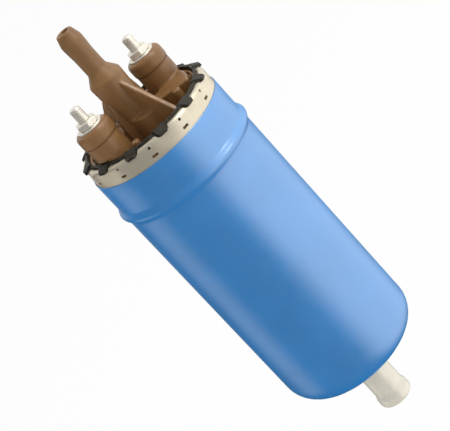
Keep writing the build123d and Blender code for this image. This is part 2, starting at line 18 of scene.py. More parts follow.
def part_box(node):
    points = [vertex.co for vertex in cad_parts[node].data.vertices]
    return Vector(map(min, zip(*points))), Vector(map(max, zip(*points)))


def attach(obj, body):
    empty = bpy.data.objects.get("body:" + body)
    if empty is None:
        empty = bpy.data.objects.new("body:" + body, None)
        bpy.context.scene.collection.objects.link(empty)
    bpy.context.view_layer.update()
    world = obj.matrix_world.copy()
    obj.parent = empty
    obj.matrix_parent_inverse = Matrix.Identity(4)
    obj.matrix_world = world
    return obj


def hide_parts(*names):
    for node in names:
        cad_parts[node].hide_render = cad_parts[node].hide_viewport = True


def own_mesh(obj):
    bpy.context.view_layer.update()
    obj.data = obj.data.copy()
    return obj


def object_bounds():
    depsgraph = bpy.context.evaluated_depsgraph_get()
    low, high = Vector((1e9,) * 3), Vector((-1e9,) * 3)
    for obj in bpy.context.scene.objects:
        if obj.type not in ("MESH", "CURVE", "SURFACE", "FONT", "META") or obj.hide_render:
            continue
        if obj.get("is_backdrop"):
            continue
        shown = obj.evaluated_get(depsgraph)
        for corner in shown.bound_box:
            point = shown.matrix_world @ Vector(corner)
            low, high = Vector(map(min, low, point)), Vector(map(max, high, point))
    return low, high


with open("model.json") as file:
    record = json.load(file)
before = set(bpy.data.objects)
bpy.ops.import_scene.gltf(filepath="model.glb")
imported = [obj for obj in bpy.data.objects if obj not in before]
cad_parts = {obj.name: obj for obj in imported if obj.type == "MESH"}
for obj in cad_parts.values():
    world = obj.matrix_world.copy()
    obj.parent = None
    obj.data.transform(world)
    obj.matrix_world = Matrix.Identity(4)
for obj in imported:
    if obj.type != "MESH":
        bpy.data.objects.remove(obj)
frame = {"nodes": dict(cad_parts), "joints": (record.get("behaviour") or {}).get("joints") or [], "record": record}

# Metres in a millimetre.
MM = 0.001
# Points nearer than this, in millimetres, become one.
MERGE = 0.002
# Least step in millimetres that keeps two faces out of one plane.
APART = 0.02
# Millimetres that a cutter runs past what it cuts.
PAST = 1.0
WHITE = (1, 1, 1, 1)
log = logging.getLogger("fuel_pump")

Point = tuple[float, float]
Corner = tuple[float, float, float]
Piece = bpy.types.Object
Socket = bpy.types.NodeSocket


def alone(piece: Piece) -> None:
    """Selects one piece and nothing else.

    Args:
        piece: the object that becomes the active one.
    """
    bpy.ops.object.select_all(action="DESELECT")
    piece.select_set(True)
    bpy.context.view_layer.objects.active = piece


@contextmanager
def edited(piece: Piece, mode: str = "VERT") -> Iterator[None]:
    """Edit mode on one piece.

    Args:
        piece: the mesh to edit.
        mode: VERT, EDGE or FACE, as the select mode.
    """
    alone(piece)
    bpy.ops.object.mode_set(mode="EDIT")
    bpy.ops.mesh.select_mode(type=mode)
    yield
    bpy.ops.object.mode_set(mode="OBJECT")


def settled(piece: Piece) -> Piece:
    """Puts a piece's place, turn and scale into its mesh.

    Args:
        piece: the object to settle.

    Returns:
        The same object, at the origin.
    """
    alone(piece)
    bpy.ops.object.transform_apply(location=True, rotation=True, scale=True)
    return piece


def primitive(name: str, operator: Callable[..., object], **settings: object) -> Piece:
    """Adds a primitive with nothing else selected, and settles it.

    Args:
        name: the piece's name.
        operator: the operator that adds it.
        settings: the operator's values, by name.

    Returns:
        The new piece.
    """
    bpy.ops.object.select_all(action="DESELECT")
    operator(**settings)
    piece = bpy.context.object
    piece.name = name
    return settled(piece)


def dropped(*pieces: Piece) -> None:
    """Deletes pieces that have served as models or cutters.

    Args:
        pieces: the objects to delete.
    """
    for piece in pieces:
        bpy.data.objects.remove(piece, do_unlink=True)


def outwards(piece: Piece) -> Piece:
    """Points all faces of a closed mesh outwards.

    Args:
        piece: the mesh.

    Returns:
        The same mesh.
    """
    with edited(piece):
        bpy.ops.mesh.select_all(action="SELECT")
        bpy.ops.mesh.normals_make_consistent(inside=False)
    return piece


def modified(piece: Piece, kind: str, **settings: object) -> Piece:
    """Adds a modifier and applies it.

    Args:
        piece: the object that gets it.
        kind: the modifier's type.
        settings: its values, by name.

    Returns:
        The same object.
    """
    modifier = piece.modifiers.new(kind.title(), kind)
    for key, value in settings.items():
        setattr(modifier, key, value)
    alone(piece)
    bpy.ops.object.modifier_apply(modifier=modifier.name)
    return piece


def combined(piece: Piece, tool: Piece, operation: str = "DIFFERENCE") -> Piece:
    """Cuts or joins a piece with a tool shape, which is then thrown away.

    Args:
        piece: the object that stays.
        tool: the other closed mesh.
        operation: DIFFERENCE, UNION or INTERSECT.

    Returns:
        The changed piece.
    """
    modified(piece, "BOOLEAN", operation=operation, object=tool, solver="EXACT")
    dropped(tool)
    return piece


def joined(name: str, pieces: Sequence[Piece]) -> Piece:
    """Puts several meshes into one object.

    Args:
        name: the name of the whole.
        pieces: the meshes, of which the first one stays.

    Returns:
        The whole.
    """
    whole = pieces[0]
    alone(whole)
    if len(pieces) > 1:
        with bpy.context.temp_override(active_object=whole, selected_editable_objects=list(pieces)):
            bpy.ops.object.join()
    whole.name = name
    return whole


def copied(piece: Piece, turn: float = 0.0, shift: Sequence[float] = (0.0, 0.0, 0.0)) -> Piece:
    """Copy of a piece with a mesh of its own.

    Args:
        piece: the model for the copy.
        turn: degrees about Z, before the shift.
        shift: how far the copy moves, in millimetres.

    Returns:
        The copy, settled.
    """
    twin = piece.copy()
    twin.data = piece.data.copy()
    bpy.context.collection.objects.link(twin)
    twin.rotation_euler.z = radians(turn)
    twin.location = Vector(shift)
    return settled(twin)


def spread(piece: Piece, count: int, first: float) -> Piece:
    """Copies of a piece spread evenly about Z, as one object.

    Args:
        piece: the model for the copies, which is used up.
        count: how many there are.
        first: degrees from the model to the first copy.

    Returns:
        All the copies.
    """
    ring = [copied(piece, first + 360 / count * k) for k in range(count)]
    name = piece.name
    dropped(piece)
    return joined(name, ring)


def rounded(corners: Sequence[Corner], closed: bool = False, steps: int = 5) -> list[Point]:
    """Outline through corners, each one rounded by its own radius.

    Args:
        corners: (x, y, radius) in millimetres; a radius of zero stays sharp.
        closed: whether the last corner leads back to the first.
        steps: how many steps an arc has.

    Returns:
        The points, with the first one repeated at the end if closed.
    """
    points: list[Point] = []
    count = len(corners)
    for k, (x, y, radius) in enumerate(corners):
        if not radius or (not closed and k in (0, count - 1)):
            points.append((x, y))
            continue
        here = Vector((x, y))
        back = (Vector(corners[k - 1][:2]) - here).normalized()
        ahead = (Vector(corners[(k + 1) % count][:2]) - here).normalized()
        half = back.angle(ahead) / 2
        middle = here + (back + ahead).normalized() * (radius / sin(half))
        first = here + back * (radius / tan(half)) - middle
        last = here + ahead * (radius / tan(half)) - middle
        sweep = pi - 2 * half
        for step in range(steps + 1):
            share = step / steps
            blend = first * sin((1 - share) * sweep) + last * sin(share * sweep)
            points.append(tuple(middle + blend / sin(sweep)))
    if closed:
        points.append(points[0])
    return points


def turned(name: str, outline: Sequence[Point], segments: int = 96) -> Piece:
    """Solid turned about Z, drawn up ring by ring from a circle.

    Args:
        name: the piece's name.
        outline: (radius, height) points; a closed outline makes a ring, an open one is capped.
        segments: how many sides the circle has.

    Returns:
        The closed mesh.
    """
    closed = outline[0] == outline[-1]
    radius, height = outline[0]
    piece = primitive(
        name, bpy.ops.mesh.primitive_circle_add, vertices=segments, radius=radius, location=(0, 0, height),
        fill_type="NOTHING" if closed else "NGON",
    )
    with edited(piece, "EDGE" if closed else "FACE"):
        bpy.ops.mesh.select_all(action="SELECT")
        for (r_from, z_from), (r_to, z_to) in pairwise(outline):
            bpy.ops.mesh.extrude_region_move(TRANSFORM_OT_translate={"value": (0, 0, z_to - z_from)})
            wider = r_to / r_from
            bpy.ops.transform.resize(value=(wider, wider, 1), center_override=(0, 0, z_to))
        bpy.ops.mesh.select_all(action="SELECT")
        bpy.ops.mesh.remove_doubles(threshold=MERGE)
    return outwards(piece)


def plate(name: str, outline: Sequence[Point], thick: float) -> Piece:
    """Flat plate in the XZ plane, with its thickness centred on it.

    Args:
        name: the piece's name.
        outline: (x, z) corners in order.
        thick: thickness along Y.

    Returns:
        The closed mesh.
    """
    piece = primitive(name, bpy.ops.mesh.primitive_plane_add, size=1)
    with edited(piece):
        bpy.ops.mesh.select_all(action="SELECT")
        bpy.ops.mesh.merge(type="CENTER")
        x, z = outline[0]
        bpy.ops.transform.translate(value=(x, -thick / 2, z))
        for (x_from, z_from), (x_to, z_to) in pairwise(outline):
            step = (x_to - x_from, 0, z_to - z_from)
            bpy.ops.mesh.extrude_region_move(TRANSFORM_OT_translate={"value": step})
        bpy.ops.mesh.select_all(action="SELECT")
        bpy.ops.mesh.edge_face_add()
        bpy.ops.mesh.extrude_region_move(TRANSFORM_OT_translate={"value": (0, thick, 0)})
    return outwards(piece)


def slab(name: str, outline: Sequence[Point], low: float, high: float, turn: float = 0.0) -> Piece:
    """Upright prism over an outline.

    Args:
        name: the piece's name.
        outline: (x, y) corners in order.
        low: height of its lower face.
        high: height of its upper face.
        turn: degrees about Z.

    Returns:
        The closed mesh.
    """
    piece = plate(name, outline, high - low)
    piece.rotation_euler = (radians(-90), 0, radians(turn))
    piece.location.z = (low + high) / 2
    return settled(piece)


def sculpted(piece: Piece, move: Callable[[Vector], Vector]) -> Piece:
    """Moves each vertex of a piece by a rule.

    Args:
        piece: the mesh to shape.
        move: gives a vertex's new place from its old one.

    Returns:
        The same piece.
    """
    for vertex in piece.data.vertices:
        vertex.co = move(vertex.co)
    piece.data.update()
    return piece


def at(radius: float, angle: float, height: float = 0.0) -> tuple[float, float, float]:
    """Point at a radius and an angle in degrees from +X, at a height."""
    return (radius * cos(radians(angle)), radius * sin(radians(angle)), height)


class Graph:
    """Node tree that is built up node by node."""

    def __init__(self, tree: bpy.types.NodeTree) -> None:
        """Takes over a tree.

        Args:
            tree: the node tree of a material or of the world.
        """
        self.tree = tree

    def feed(self, socket: Socket, source: object) -> None:
        """Links an output to an input, or sets the input's value.

        Args:
            socket: the input.
            source: an output, or a value.
        """
        if isinstance(source, Socket):
            self.tree.links.new(source, socket)
        else:
            socket.default_value = source

    def node(self, kind: str, *inputs: object, **settings: object) -> bpy.types.Node:
        """Adds a node and feeds it.

        Args:
            kind: its type.
            inputs: for each input in turn an output, a value, or None to leave it.
            settings: its properties, by name.

        Returns:
            The node.
        """
        made = self.tree.nodes.new(kind)
        for key, value in settings.items():
            setattr(made, key, value)
        for socket, source in zip(made.inputs, inputs):
            if source is not None:
                self.feed(socket, source)
        return made

    def vector(self, operation: str, *inputs: object) -> bpy.types.Node:
        """Adds a Vector Math node, whose fourth input is the scale."""
        return self.node("ShaderNodeVectorMath", *inputs, operation=operation)

    def blended(self, factor: Socket, first: object, second: object) -> Socket:
        """Colour between two colours.

        Args:
            factor: 0 for the first and 1 for the second.
            first: linear red, green and blue, or an output.
            second: linear red, green and blue, or an output.

        Returns:
            The colour.
        """
        mix = self.node("ShaderNodeMix", factor, data_type="RGBA")
        for name, colour in (("A", first), ("B", second)):
            self.feed(mix.inputs[name], colour if isinstance(colour, Socket) else (*colour, 1))
        return mix.outputs["Result"]

    def picture_rays(self) -> Socket:
        """1 for rays from the camera and for those that metal and glass send on.

        Returns:
            The factor.
        """
        path = self.node("ShaderNodeLightPath")
        total = path.outputs["Is Camera Ray"]
        for name in ("Is Glossy Ray", "Is Transmission Ray"):
            total = self.node("ShaderNodeMath", total, path.outputs[name], operation="MAXIMUM").outputs[0]
        return total


class Paint(Graph):
    """Material of one finish, with the patterns that feed its shader."""

    def __init__(self, name: str) -> None:
        """Starts a material with its Principled shader.

        Args:
            name: the material's name.
        """
        self.material = bpy.data.materials.new(name)
        self.material.use_nodes = True
        super().__init__(self.material.node_tree)
        self.shader = self.tree.nodes["Principled BSDF"]
        self.place = self.node("ShaderNodeTexCoord").outputs["Object"]

    def shaded(self, **values: object) -> None:
        """Links or sets the shader's own inputs.

        Args:
            values: socket names with underscores for spaces, each with an output or a value.
        """
        for key, value in values.items():
            self.feed(self.shader.inputs[key.replace("_", " ")], value)

    def noise(self, size: float, detail: float = 3.0, stretch: Sequence[float] = (1, 1, 1)) -> Socket:
        """Noise whose grains have a size in millimetres.

        Args:
            size: the size of a grain.
            detail: how many finer layers it has.
            stretch: factors along X, Y and Z, above 1 for a finer grain that way.

        Returns:
            The noise value, around one half.
        """
        mapping = self.node("ShaderNodeMapping", self.place)
        self.feed(mapping.inputs["Scale"], stretch)
        texture = self.node("ShaderNodeTexNoise", mapping.outputs["Vector"])
        self.feed(texture.inputs["Scale"], 1 / (size * MM))
        self.feed(texture.inputs["Detail"], detail)
        return texture.outputs["Fac"]

    def ranged(self, source: Socket, low: float, high: float, start: float = 0.3, end: float = 0.7) -> Socket:
        """Maps a value from one range to another.

        Args:
            source: the value.
            low: what the start becomes.
            high: what the end becomes.
            start: the low end of the source.
            end: the high end of the source.

        Returns:
            The mapped value.
        """
        return self.node("ShaderNodeMapRange", source, start, end, low, high).outputs["Result"]

    def bumped(self, *layers: tuple[Socket, float]) -> None:
        """Sends heights to the shader's normal.

        Args:
            layers: height values, each with its depth in millimetres.
        """
        normal = None
        for height, depth in layers:
            bump = self.node("ShaderNodeBump")
            self.feed(bump.inputs["Distance"], depth * MM)
            self.feed(bump.inputs["Height"], height)
            if normal:
                self.feed(bump.inputs["Normal"], normal)
            normal = bump.outputs["Normal"]
        self.shaded(Normal=normal)


@dataclass(frozen=True)
class Finish:
    """What every surface finish has."""

    slot: str
    colour: tuple[float, float, float]
    roughness: float

    def darker(self, share: float) -> tuple[float, float, float]:
        """The colour times a share."""
        return tuple(value * share for value in self.colour)

    def uneven(self, paint: Paint, pattern: Socket, less: float, more: float) -> Socket:
        """The roughness, made uneven by a pattern.

        Args:
            paint: the material.
            pattern: the pattern's value.
            less: how far it goes below the finish's own roughness.
            more: how far it goes above.

        Returns:
            The roughness.
        """
        return paint.ranged(pattern, self.roughness - less, self.roughness + more)

    def material(self) -> bpy.types.Material:
        """The finish as a material, made once.

        Returns:
            The material.
        """
        name = f"{self.slot}_finish"
        made = bpy.data.materials.get(name)
        if made:
            return made
        paint = Paint(name)
        self.apply(paint)
        return paint.material

    def apply(self, paint: Paint) -> None:
        """Fills in the node tree; each kind of finish has its own way."""
        raise NotImplementedError


@dataclass(frozen=True)
class SatinCoat(Finish):
    """Coloured coat on metal, with a fine grain and soft clouds."""

    grain: float = 0.35
    mottle: float = 2.5
    ripple: float = 9.0
    cloud: float = 18.0
    ior: float = 2.6

    def apply(self, paint: Paint) -> None:
        """Clouded colour, uneven gloss and grain.

        Args:
            paint: the material to fill in.
        """
        clouds = paint.ranged(paint.noise(self.cloud, 2.0), 0, 1)
        paint.shaded(
            Base_Color=paint.blended(clouds, self.darker(0.9), self.colour),
            Roughness=self.uneven(paint, paint.noise(self.mottle, 4.0), 0.02, 0.04),
            IOR=self.ior,
        )
        paint.bumped((paint.noise(self.grain, 2.0), 0.004), (paint.noise(self.ripple, 1.0), 0.04))


@dataclass(frozen=True)
class Moulding(Finish):
    """Moulded plastic with flow marks and a fine die texture."""

    flow: float = 7.0
    mottle: float = 1.6
    die: float = 0.5
    sink: float = 3.0

    def apply(self, paint: Paint) -> None:
        """Streaked colour, uneven gloss and texture.

        Args:
            paint: the material to fill in.
        """
        streaks = paint.ranged(paint.noise(self.flow, 4.0, (1, 1, 0.5)), 0, 1)
        paint.shaded(
            Base_Color=paint.blended(streaks, self.darker(0.72), self.colour),
            Roughness=self.uneven(paint, paint.noise(self.mottle, 4.0), 0.08, 0.1),
        )
        paint.bumped((paint.noise(self.die, 3.0), 0.02), (paint.noise(self.sink, 2.0), 0.05))


@dataclass(frozen=True)
class Rubber(Finish):
    """Soft black rubber with dust in its pores."""

    dust: tuple[float, float, float] = (0.06, 0.055, 0.05)
    speck: float = 1.2
    mottle: float = 0.8
    pore: float = 0.4

    def apply(self, paint: Paint) -> None:
        """Dusty colour and a matt, pitted face.

        Args:
            paint: the material to fill in.
        """
        specks = paint.ranged(paint.noise(self.speck, 6.0), 0, 1, 0.5, 0.75)
        paint.shaded(
            Base_Color=paint.blended(specks, self.colour, self.dust),
            Roughness=self.uneven(paint, paint.noise(self.mottle), 0.1, 0.1),
        )
        paint.bumped((paint.noise(self.pore, 4.0), 0.03))


class Grain(Enum):
    """How a metal's face was made, as the stretch of its grain along X, Y and Z."""

    TURNED = (0.3, 0.3, 8.0)
    ROLLED = (0.5, 0.5, 5.0)
    DRAWN = (4.0, 4.0, 0.3)
    CAST = (1.0, 1.0, 1.0)


@dataclass(frozen=True)
class Metal(Finish):
    """Metal with the grain of its making and a little tarnish."""

    grain: Grain = Grain.CAST
    size: float = 0.8
    depth: float = 0.01
    tarnish: float = 0.8
    metallic: float = 1.0
    stain: float = 5.0

    def apply(self, paint: Paint) -> None:
        """Tarnished colour, streaked gloss and tool marks.

        Args:
            paint: the material to fill in.
        """
        stains = paint.ranged(paint.noise(self.stain, 4.0), 0, 1)
        marks = paint.noise(self.size, 3.0, self.grain.value)
        paint.shaded(
            Base_Color=paint.blended(stains, self.darker(self.tarnish), self.colour),
            Roughness=self.uneven(paint, marks, 0.03, 0.04),
            Metallic=self.metallic,
        )
        paint.bumped((marks, self.depth))


@dataclass(frozen=True)
class Wound(Finish):
    """Enamelled wires laid side by side round a coil."""

    wire: float = 0.9

    def apply(self, paint: Paint) -> None:
        """Bands of wire with dark gaps, bent a little by noise.

        Args:
            paint: the material to fill in.
        """
        wave = paint.node("ShaderNodeTexWave", paint.place, wave_type="RINGS", rings_direction="Z")
        paint.feed(wave.inputs["Scale"], 0.3 / (self.wire * MM))
        paint.feed(wave.inputs["Distortion"], 1.5)
        wires = wave.outputs["Fac"]
        paint.shaded(
            Base_Color=paint.blended(wires, self.darker(0.35), self.colour),
            Roughness=self.uneven(paint, paint.noise(1.0), 0.05, 0.15),
            Metallic=0.6,
            Coat_Weight=0.5,
        )
        paint.bumped((wires, 0.2))


FINISHES = {
    finish.slot: finish
    for finish in (
        SatinCoat("blue_jacket", (0.0, 0.265, 0.74), 0.32),
        Metal(
            "bare_metal", (0.74, 0.67, 0.53), 0.30, Grain.ROLLED,
            size=1.2, depth=0.002, tarnish=0.93, metallic=0.5,
        ),
        Rubber("black_rubber", (0.024, 0.021, 0.013), 0.6),
        Moulding("brown_moulding", (0.28, 0.145, 0.055), 0.33),
        Metal(
            "plated_steel", (0.88, 0.84, 0.75), 0.3, Grain.TURNED,
            size=0.5, depth=0.003, tarnish=0.92, metallic=0.5,
        ),
        Metal(
            "nipple_metal", (0.93, 0.87, 0.73), 0.28, Grain.TURNED,
            size=0.6, depth=0.004, tarnish=0.92, metallic=0.15,
        ),
        Metal("copper", (0.80, 0.42, 0.26), 0.3, Grain.ROLLED, size=0.6, depth=0.006, tarnish=0.75),
        Metal("brass", (0.80, 0.62, 0.28), 0.28, Grain.TURNED, size=0.5, depth=0.006, tarnish=0.8),
        Metal("bronze", (0.60, 0.42, 0.22), 0.45, size=0.35, depth=0.03, tarnish=0.7),
        Moulding("gauze", (0.78, 0.78, 0.72), 0.45, flow=3.0),
        Metal("cast_aluminium", (0.72, 0.73, 0.74), 0.42, size=0.6, depth=0.03, tarnish=0.85),
        Metal("ground_steel", (0.64, 0.64, 0.65), 0.22, Grain.TURNED, size=0.4, depth=0.004, tarnish=0.9),
        Metal("sintered_steel", (0.42, 0.42, 0.43), 0.48, size=0.3, depth=0.025, tarnish=0.7),
        Metal("spring_steel", (0.60, 0.59, 0.57), 0.25, Grain.DRAWN, size=0.4, depth=0.004, tarnish=0.85),
        Moulding("ferrite", (0.035, 0.034, 0.036), 0.6, flow=4.0),
        Metal("lamination_steel", (0.36, 0.37, 0.39), 0.4, Grain.TURNED, size=0.5, depth=0.05, tarnish=0.7),
        Wound("enamelled_wire", (0.62, 0.24, 0.08), 0.25),
        Moulding("pale_moulding", (0.62, 0.58, 0.47), 0.42, flow=6.0),
        Moulding("carbon", (0.03, 0.03, 0.03), 0.5, flow=2.0),
    )
}


@dataclass
class SubAssembly:
    """Group of pieces that are built and dressed together, and the sizes that groups share."""

    lip_r: float = 23.6
    foot_r: float = 22.6
    crimps: int = 12
    crimp_phase: float = 19.0
    boss_reach: float = 17.5
    boss_angle: float = 36.9
    shank_r: float = 2.4

    def build(self) -> None:
        """Makes every piece of the group."""
        raise NotImplementedError

    def dressed(self, piece: Piece, slot: str, *nodes: str, sharp: float = 35.0) -> Piece:
        """Shrinks a piece to metres, gives it its finish and fixes it to the pump.

        Args:
            piece: the finished mesh, in millimetres.
            slot: the material slot of its finish.
            nodes: the model's nodes that it stands for.
            sharp: degrees between faces above which an edge stays sharp.

        Returns:
            The piece.
        """
        piece.scale = (MM, MM, MM)
        settled(piece)
        bpy.ops.object.shade_smooth_by_angle(angle=radians(sharp))
        piece.data.materials.clear()
        piece.data.materials.append(FINISHES[slot].material())
        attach(piece, "pump")
        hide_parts(*nodes)
        log.info("%s: %d faces, for %s", piece.name, len(piece.data.polygons), ", ".join(nodes))
        return piece


def low_of(node: str) -> float:
    """Lowest height of a node, in millimetres."""
    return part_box(node)[0].z / MM


def high_of(node: str) -> float:
    """Greatest height of a node, in millimetres."""
    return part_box(node)[1].z / MM


@dataclass
class Housing(SubAssembly):
    """Drawn can with its crimped rim, and the blue coat over it."""

    jacket_r: float = 26.0
    jacket_wall: float = 0.3
    can_wall: float = 1.0
    bead_width: float = 5.6
    bead_height: float = 1.2
    collar_length: float = 11.6
    corner_r: float = 9.5
    hole_r: float = 6.0
    rim_round: float = 1.4
    fold_round: float = 0.35
    inner_round: float = 0.4
    dash_height: float = 1.9
    dash_size: tuple[float, float, float] = (2.6, 2.3, 0.95)
    dash_round: float = 0.3
    dot_height: float = 5.0
    dot_r: float = 0.5
    notch_low: float = 2.1
    notch_high: float = 3.0
    notch_round: float = 0.8
    wave: float = 0.45
    wave_start: float = 0.6
    wave_ramp: float = 1.5
    wave_rings: tuple[float, float] = (1.0, 3.0)
    segments: int = 240

    def __post_init__(self) -> None:
        """Takes the can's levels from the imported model."""
        self.bottom = low_of("jacket")
        self.top = high_of("jacket")
        self.rim_top = high_of("can")
        self.land_low = self.bottom + self.corner_r
        self.land_high = self.top - self.collar_length - self.bead_width

    def skin(
        self, inset: float, corner_steps: int = 10, land_steps: int = 8, bead_steps: int = 14,
    ) -> list[Point]:
        """One side of the drawn wall, from its hole up to the collar.

        Args:
            inset: how far it lies inside the jacket's outside.
            corner_steps: steps round the domed end's corner.
            land_steps: steps up the straight land.
            bead_steps: steps over the bead.

        Returns:
            (radius, height) points, from the hole to the jacket's upper edge.
        """
        r = self.jacket_r - inset
        corner = self.corner_r - inset
        points = [(self.hole_r, self.bottom + inset)]
        for k in range(corner_steps + 1):
            turn = pi / 2 * k / corner_steps
            points.append((r - corner + corner * sin(turn), self.land_low - corner * cos(turn)))
        for k in range(1, land_steps):
            points.append((r, self.land_low + (self.land_high - self.land_low) * k / land_steps))
        for k in range(bead_steps + 1):
            rise = self.bead_height * (1 - cos(tau * k / bead_steps)) / 2
            points.append((r + rise, self.land_high + self.bead_width * k / bead_steps))
        points += [(r, self.top - self.collar_length / 2), (r, self.top)]
        return points

    def jacket(self) -> None:
        """The blue coat, with a rolled upper edge."""
        outside = self.skin(0.0)
        inside = self.skin(self.jacket_wall)
        edge = self.jacket_wall / 2
        x, z = outside[-1]
        rolled = [(x - edge + edge * cos(pi * k / 6), z - edge + edge * sin(pi * k / 6)) for k in range(7)]
        outline = outside[:-1] + rolled + inside[-2::-1]
        piece = turned("jacket_coat", outline + [outline[0]], self.segments)
        self.dressed(piece, "blue_jacket", "jacket")

    def marks(self) -> Piece:
        """Cutters of the punch marks that lock the rim.

        Returns:
            All the cutters as one object.
        """
        r = self.jacket_r - self.jacket_wall
        dash = primitive(
            "dash", bpy.ops.mesh.primitive_cube_add, size=1, location=(r, 0, self.top + self.dash_height),
            scale=self.dash_size,
        )
        modified(dash, "BEVEL", width=self.dash_round, segments=3)
        dot = primitive(
            "dot", bpy.ops.mesh.primitive_cylinder_add, vertices=20, radius=self.dot_r,
            depth=self.dash_size[0], location=(r, 0, self.top + self.dot_height),
            rotation=(0, radians(90), 0),
        )
        return spread(joined("marks", [dash, dot]), self.crimps, self.crimp_phase)

    def notches(self) -> Piece:
        """Cutters of the gaps between the folded tabs.

        Returns:
            All the cutters as one object.
        """
        low = self.rim_top - self.can_wall
        high = self.rim_top + APART
        wide = self.notch_high + 2 * self.notch_round
        half = [
            (wide, high + 2 * PAST, 0.0),
            (wide, high, 0.0),
            (self.notch_high, high, self.notch_round),
            (self.notch_low, low, self.notch_round),
        ]
        corners = [(-x, z, radius) for x, z, radius in half] + half[::-1]
        outer = self.jacket_r + PAST
        inner = self.lip_r - 2 * PAST
        cutter = plate("notch", rounded(corners), outer - inner)

        def tapered(place: Vector) -> Vector:
            """Turns the plate to face outwards and narrows it towards the axis.

            Args:
                place: a point of the plate.

            Returns:
                Its new place.
            """
            out = place.y + (outer + inner) / 2
            return Vector((out, place.x * out / self.jacket_r, place.z))

        outwards(sculpted(cutter, tapered))
        return spread(cutter, self.crimps, self.crimp_phase + 180 / self.crimps)

    def can(self) -> None:
        """The bare can with its folded and punched rim."""
        r = self.jacket_r - self.jacket_wall
        outside = self.skin(self.jacket_wall)[:-1]
        inside = self.skin(self.jacket_wall + self.can_wall)[:-1]
        fold = [
            *((r, self.top + rise, 0.0) for rise in self.wave_rings),
            (r, self.rim_top, self.rim_round),
            (self.lip_r, self.rim_top, self.fold_round),
            (self.lip_r, self.rim_top - self.can_wall, self.fold_round),
            (r - self.can_wall, self.rim_top - self.can_wall, self.inner_round),
            (r - self.can_wall, self.top, 0.0),
        ]
        outline = outside + rounded(fold, steps=6) + inside[::-1]
        piece = turned("can_shell", outline + [outline[0]], self.segments)

        def pressed(place: Vector) -> Vector:
            """Presses the rim in a little between its punch marks.

            Args:
                place: a point of the can.

            Returns:
                Its new place.
            """
            share = min(max((place.z - self.top - self.wave_start) / self.wave_ramp, 0.0), 1.0)
            angle = degrees(Vector((place.x, place.y)).angle_signed(Vector((1, 0)), 0.0)) - self.crimp_phase
            depth = self.wave * share * (1 - cos(radians(angle * self.crimps))) / 2
            r_here = hypot(place.x, place.y)
            return Vector((place.x * (1 - depth / r_here), place.y * (1 - depth / r_here), place.z))

        sculpted(piece, pressed)
        combined(piece, self.notches())
        combined(piece, self.marks())
        self.dressed(piece, "bare_metal", "can", sharp=30)

    def build(self) -> None:
        """Makes the coat and the can."""
        self.jacket()
        self.can()


@dataclass
class RimGasket(SubAssembly):
    """Rubber ring under the lip, with teeth up through its gaps."""

    flange_r: float = 24.3
    tooth_r: float = 26.1
    tooth_height: float = 6.3
    tooth_top: float = 7.7
    tooth_root: float = 2.2
    tooth_end: float = 1.3
    crown_height: float = 7.3
    thick: float = 1.0
    edge_round: float = 0.25

    def build(self) -> None:
        """Ring turned in one, with the valleys between its teeth cut out and its edges softened."""
        low = low_of("rim_gasket")
        top = high_of("rim_gasket")
        base = high_of("jacket")
        lip = low + self.thick
        outline = [
            (self.foot_r, low),
            (self.flange_r, low),
            (self.flange_r, lip),
            (self.tooth_r, lip + APART),
            (self.tooth_r, base + self.tooth_height),
            (self.lip_r, base + self.tooth_top),
            (self.foot_r, base + self.tooth_top),
            (self.foot_r, low),
        ]
        piece = turned("castle_gasket", outline, 180)
        crown = base + self.crown_height
        outer_wedge = self.valley(self.lip_r - 0.1, self.tooth_r + PAST)
        inner_wedge = self.valley(self.foot_r - PAST, self.lip_r + 0.5)
        outside = slab("valley", outer_wedge, lip, top + 2 * PAST)
        above = slab("valley", inner_wedge, crown, crown + 4 * PAST)
        for cutter in (outside, above):
            combined(piece, spread(cutter, self.crimps, self.crimp_phase))
        modified(piece, "BEVEL", width=self.edge_round, segments=3, angle_limit=radians(40))
        self.dressed(piece, "black_rubber", "rim_gasket", sharp=60)

    def valley(self, r_in: float, r_out: float) -> list[Point]:
        """Wedge about +X between two teeth, which narrow outwards.

        Args:
            r_in: its inner radius.
            r_out: its outer radius.

        Returns:
            Its four corners.
        """
        pitch = tan(radians(180 / self.crimps))
        narrowing = (self.tooth_end - self.tooth_root) / (self.tooth_r - self.lip_r)
        halves = [r * pitch - self.tooth_root - narrowing * (r - self.lip_r) for r in (r_in, r_out)]
        return [(r_in, -halves[0]), (r_out, -halves[1]), (r_out, halves[1]), (r_in, halves[0])]


